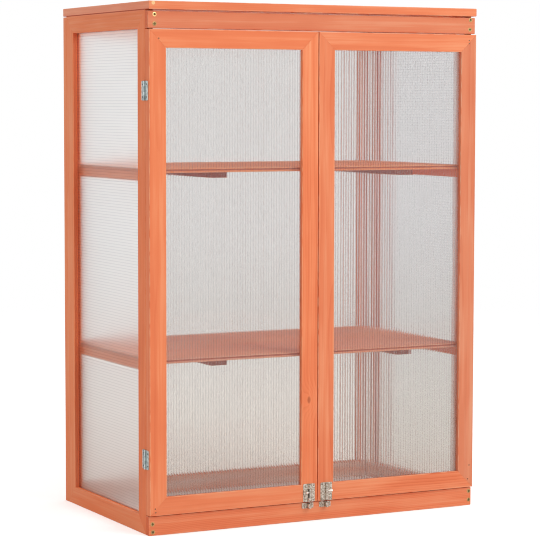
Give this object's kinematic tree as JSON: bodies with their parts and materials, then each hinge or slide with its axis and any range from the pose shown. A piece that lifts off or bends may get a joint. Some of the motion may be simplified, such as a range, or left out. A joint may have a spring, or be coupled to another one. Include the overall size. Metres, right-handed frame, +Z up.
{
  "type": "wooden mini greenhouse",
  "caption": "Upright wooden cabinet greenhouse with twin-wall plastic sheets, a pair of front doors on butt hinges with barrel bolts, slatted shelves on cleats and a rear-hinged lid.",
  "frame": {"origin": "centre of the whole greenhouse's outline at ground level, including the bolt knobs in front and the lid hinges behind", "axes": "+Z up, +X to the right as seen from the doors, +Y from the doors to the back"},
  "size_m": [0.7956, 0.4832, 1.1],
  "materials": {
    "fir_front": "satin",
    "fir_sides": "satin",
    "fir_shelves": "matte",
    "twin_wall_sheet": "satin",
    "zinc_steel": "satin",
    "nickel_steel": "gloss"
  },
  "bodies": {
    "cabinet": {"left_side_front_stile": "fir_sides", "left_side_rear_stile": "fir_sides", "left_side_top_rail": "fir_sides", "left_side_bottom_rail": "fir_sides", "left_side_sheet": "twin_wall_sheet", "right_side_front_stile": "fir_sides", "right_side_rear_stile": "fir_sides", "right_side_top_rail": "fir_sides", "right_side_bottom_rail": "fir_sides", "right_side_sheet": "twin_wall_sheet", "back_left_stile": "fir_sides", "back_right_stile": "fir_sides", "back_top_rail": "fir_sides", "back_bottom_rail": "fir_sides", "back_sheet": "twin_wall_sheet", "header_board": "fir_front", "skirt_board": "fir_front", "lower_shelf_boards": "fir_shelves", "lower_shelf_left_batten": "fir_shelves", "lower_shelf_right_batten": "fir_shelves", "lower_shelf_left_cleat": "fir_sides", "lower_shelf_right_cleat": "fir_sides", "upper_shelf_boards": "fir_shelves", "upper_shelf_left_batten": "fir_shelves", "upper_shelf_right_batten": "fir_shelves", "upper_shelf_left_cleat": "fir_sides", "upper_shelf_right_cleat": "fir_sides", "left_upper_hinge_cabinet_leaf": "zinc_steel", "left_lower_hinge_cabinet_leaf": "zinc_steel", "right_upper_hinge_cabinet_leaf": "zinc_steel", "right_lower_hinge_cabinet_leaf": "zinc_steel", "lid_left_hinge_back_leaf": "zinc_steel", "lid_right_hinge_back_leaf": "zinc_steel", "left_keeper": "nickel_steel", "right_keeper": "nickel_steel"},
    "left_door": {"left_door_outer_stile": "fir_front", "left_door_inner_stile": "fir_front", "left_door_top_rail": "fir_front", "left_door_bottom_rail": "fir_front", "left_door_sheet": "twin_wall_sheet", "left_upper_hinge_door_leaf": "zinc_steel", "left_lower_hinge_door_leaf": "zinc_steel", "left_bolt_plate": "nickel_steel"},
    "right_door": {"right_door_outer_stile": "fir_front", "right_door_inner_stile": "fir_front", "right_door_top_rail": "fir_front", "right_door_bottom_rail": "fir_front", "right_door_sheet": "twin_wall_sheet", "right_upper_hinge_door_leaf": "zinc_steel", "right_lower_hinge_door_leaf": "zinc_steel", "right_bolt_plate": "nickel_steel"},
    "lid": {"lid_front_rail": "fir_front", "lid_rear_rail": "fir_front", "lid_left_rail": "fir_front", "lid_right_rail": "fir_front", "lid_sheet": "twin_wall_sheet", "lid_left_hinge_lid_leaf": "zinc_steel", "lid_right_hinge_lid_leaf": "zinc_steel"},
    "left_bolt": {"left_bolt_rod": "nickel_steel"},
    "right_bolt": {"right_bolt_rod": "nickel_steel"}
  },
  "joints": [
    {"name": "left_door_hinge", "type": "hinge", "parent": "cabinet", "child": "left_door", "pos_m": [-0.3953, -0.20817, 0.5425], "axis": [0, 0, -1], "range_deg": [0, 180]},
    {"name": "right_door_hinge", "type": "hinge", "parent": "cabinet", "child": "right_door", "pos_m": [0.3953, -0.20817, 0.5425], "axis": [0, 0, 1], "range_deg": [0, 180]},
    {"name": "lid_hinge", "type": "hinge", "parent": "cabinet", "child": "lid", "pos_m": [0, 0.23913, 1.082], "axis": [-1, 0, 0], "range_deg": [0, 180]},
    {"name": "left_bolt_slide", "type": "slide", "parent": "left_door", "child": "left_bolt", "axis": [0, 0, -1], "range_m": [-0.005, 0.011]},
    {"name": "right_bolt_slide", "type": "slide", "parent": "right_door", "child": "right_bolt", "axis": [0, 0, -1], "range_m": [-0.005, 0.011]}
  ]
}
